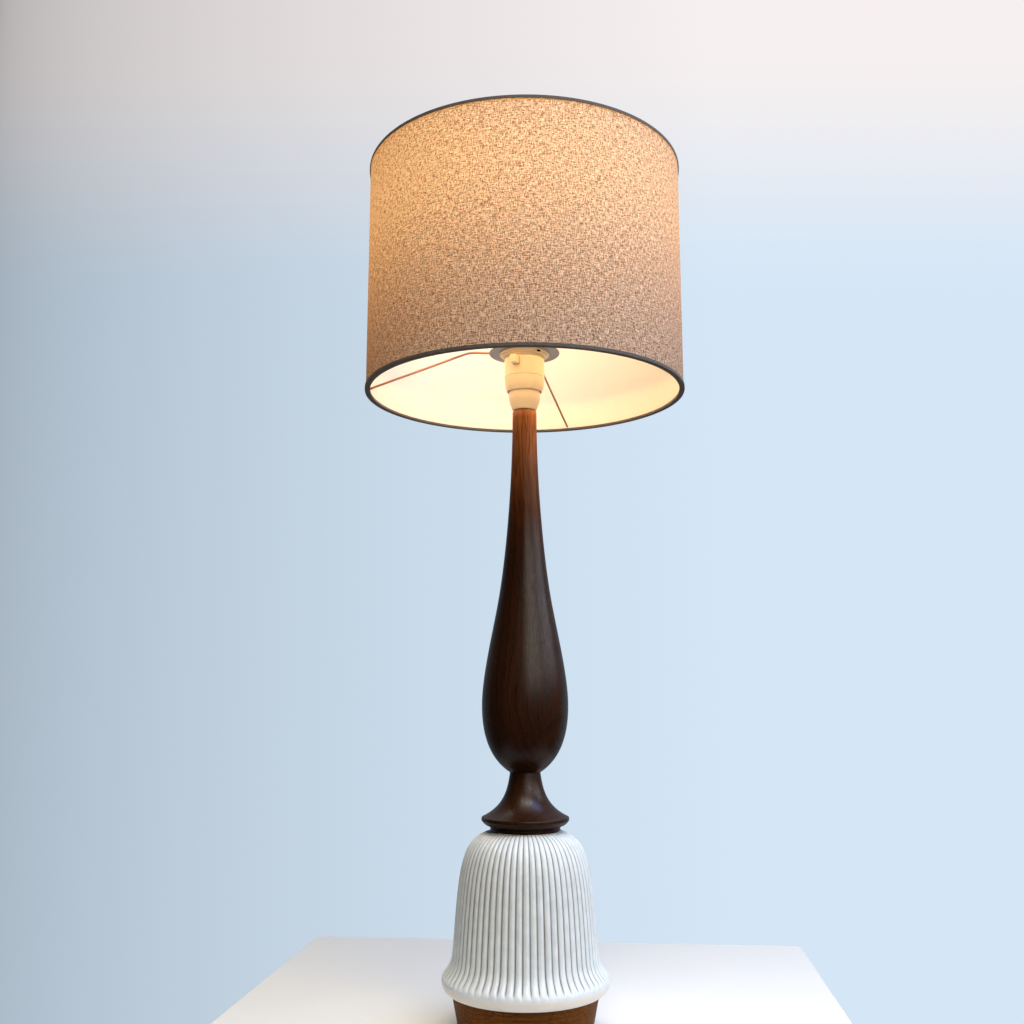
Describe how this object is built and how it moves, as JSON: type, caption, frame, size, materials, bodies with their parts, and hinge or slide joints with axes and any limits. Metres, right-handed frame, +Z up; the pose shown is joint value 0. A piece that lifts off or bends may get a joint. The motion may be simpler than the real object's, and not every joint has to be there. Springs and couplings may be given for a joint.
{
  "type": "table lamp with drum shade",
  "caption": "Table lamp with a linen drum shade on a turned wooden stem, a fluted ceramic bell and a wooden plinth, with a push-bar bayonet lampholder.",
  "frame": {"origin": "centre of the felt's underside, on the table", "axes": "+Z up the stem, -Y towards the front, +X to the right"},
  "size_m": [0.3, 0.3, 0.7875],
  "materials": {
    "felt": "wool baize",
    "pale_teak": "turned and oiled, golden brown",
    "dark_teak": "turned and lacquered, dark red brown, satin",
    "black_rubber": "moulded, matt",
    "zinc_steel": "zinc plated",
    "brass": "turned",
    "glaze": "off-white glaze with grey-green pooled in the flutes",
    "white_plastic": "moulded, satin",
    "painted_wire": "powder coated wire",
    "shade_lining": "matt white shade lining",
    "linen": "heathered linen weave with dark slubs",
    "trim_tape": "dark grey-brown tape",
    "bulb_aluminium": "drawn cap",
    "opal_glass": "opal, warm white"
  },
  "bodies": {
    "stand": {"base_felt": "felt", "plinth": "pale_teak", "cable_bush": "black_rubber", "base_washer": "zinc_steel", "base_nut": "brass", "threaded_tube": "zinc_steel", "ceramic_bell": "glaze", "stem_foot": "dark_teak", "stem_vase": "dark_teak", "holder_cup": "white_plastic", "grub_screw": "zinc_steel", "holder_dome": "white_plastic", "holder_body": "white_plastic", "holder_core": "white_plastic", "terminal_1": "brass", "terminal_2": "brass", "plunger_spring_1": "zinc_steel", "plunger_spring_2": "zinc_steel"},
    "push_bar": {"push_bar": "white_plastic"},
    "plunger_1": {"plunger_1": "brass"},
    "plunger_2": {"plunger_2": "brass"},
    "bulb": {"bulb_cap": "bulb_aluminium", "bulb_insulator": "black_rubber", "bulb_contact_1": "brass", "bulb_contact_2": "brass", "bulb_glass": "opal_glass"},
    "shade": {"reducer_ring": "white_plastic", "shade_carrier": "zinc_steel", "carrier_arm_1": "painted_wire", "carrier_arm_2": "painted_wire", "carrier_arm_3": "painted_wire", "bottom_rim_wire": "painted_wire", "top_rim_wire": "painted_wire", "shade_liner": "shade_lining", "shade_fabric": "linen", "bottom_trim": "trim_tape", "top_trim": "trim_tape"},
    "shade_ring": {"shade_ring": "white_plastic"}
  },
  "joints": [
    {"name": "push_bar_slide", "type": "slide", "parent": "stand", "child": "push_bar", "axis": [0.4147, 0.91, 0], "range_m": [0, 0.006]},
    {"name": "shade_turn", "type": "hinge", "parent": "stand", "child": "shade", "pos_m": [0, 0, 0.607], "axis": [0, 0, 1], "continuous": true},
    {"name": "shade_ring_turn", "type": "hinge", "parent": "stand", "child": "shade_ring", "pos_m": [0, 0, 0.612], "axis": [0, 0, 1], "range_deg": [0, 360]},
    {"name": "bulb_press", "type": "slide", "parent": "stand", "child": "bulb", "axis": [0, 0, -1], "range_m": [0, 0.002], "stiffness_N_per_m": 2500, "springref_m": -0.004},
    {"name": "plunger_1_press", "type": "slide", "parent": "stand", "child": "plunger_1", "axis": [0, 0, -1], "range_m": [0, 0.002], "deforming": ["plunger_spring_1"]},
    {"name": "plunger_2_press", "type": "slide", "parent": "stand", "child": "plunger_2", "axis": [0, 0, -1], "range_m": [0, 0.002], "deforming": ["plunger_spring_2"]}
  ],
  "couplings": [
    {"joint": "plunger_1_press", "follows": "bulb_press", "ratio": 1},
    {"joint": "plunger_2_press", "follows": "bulb_press", "ratio": 1}
  ]
}
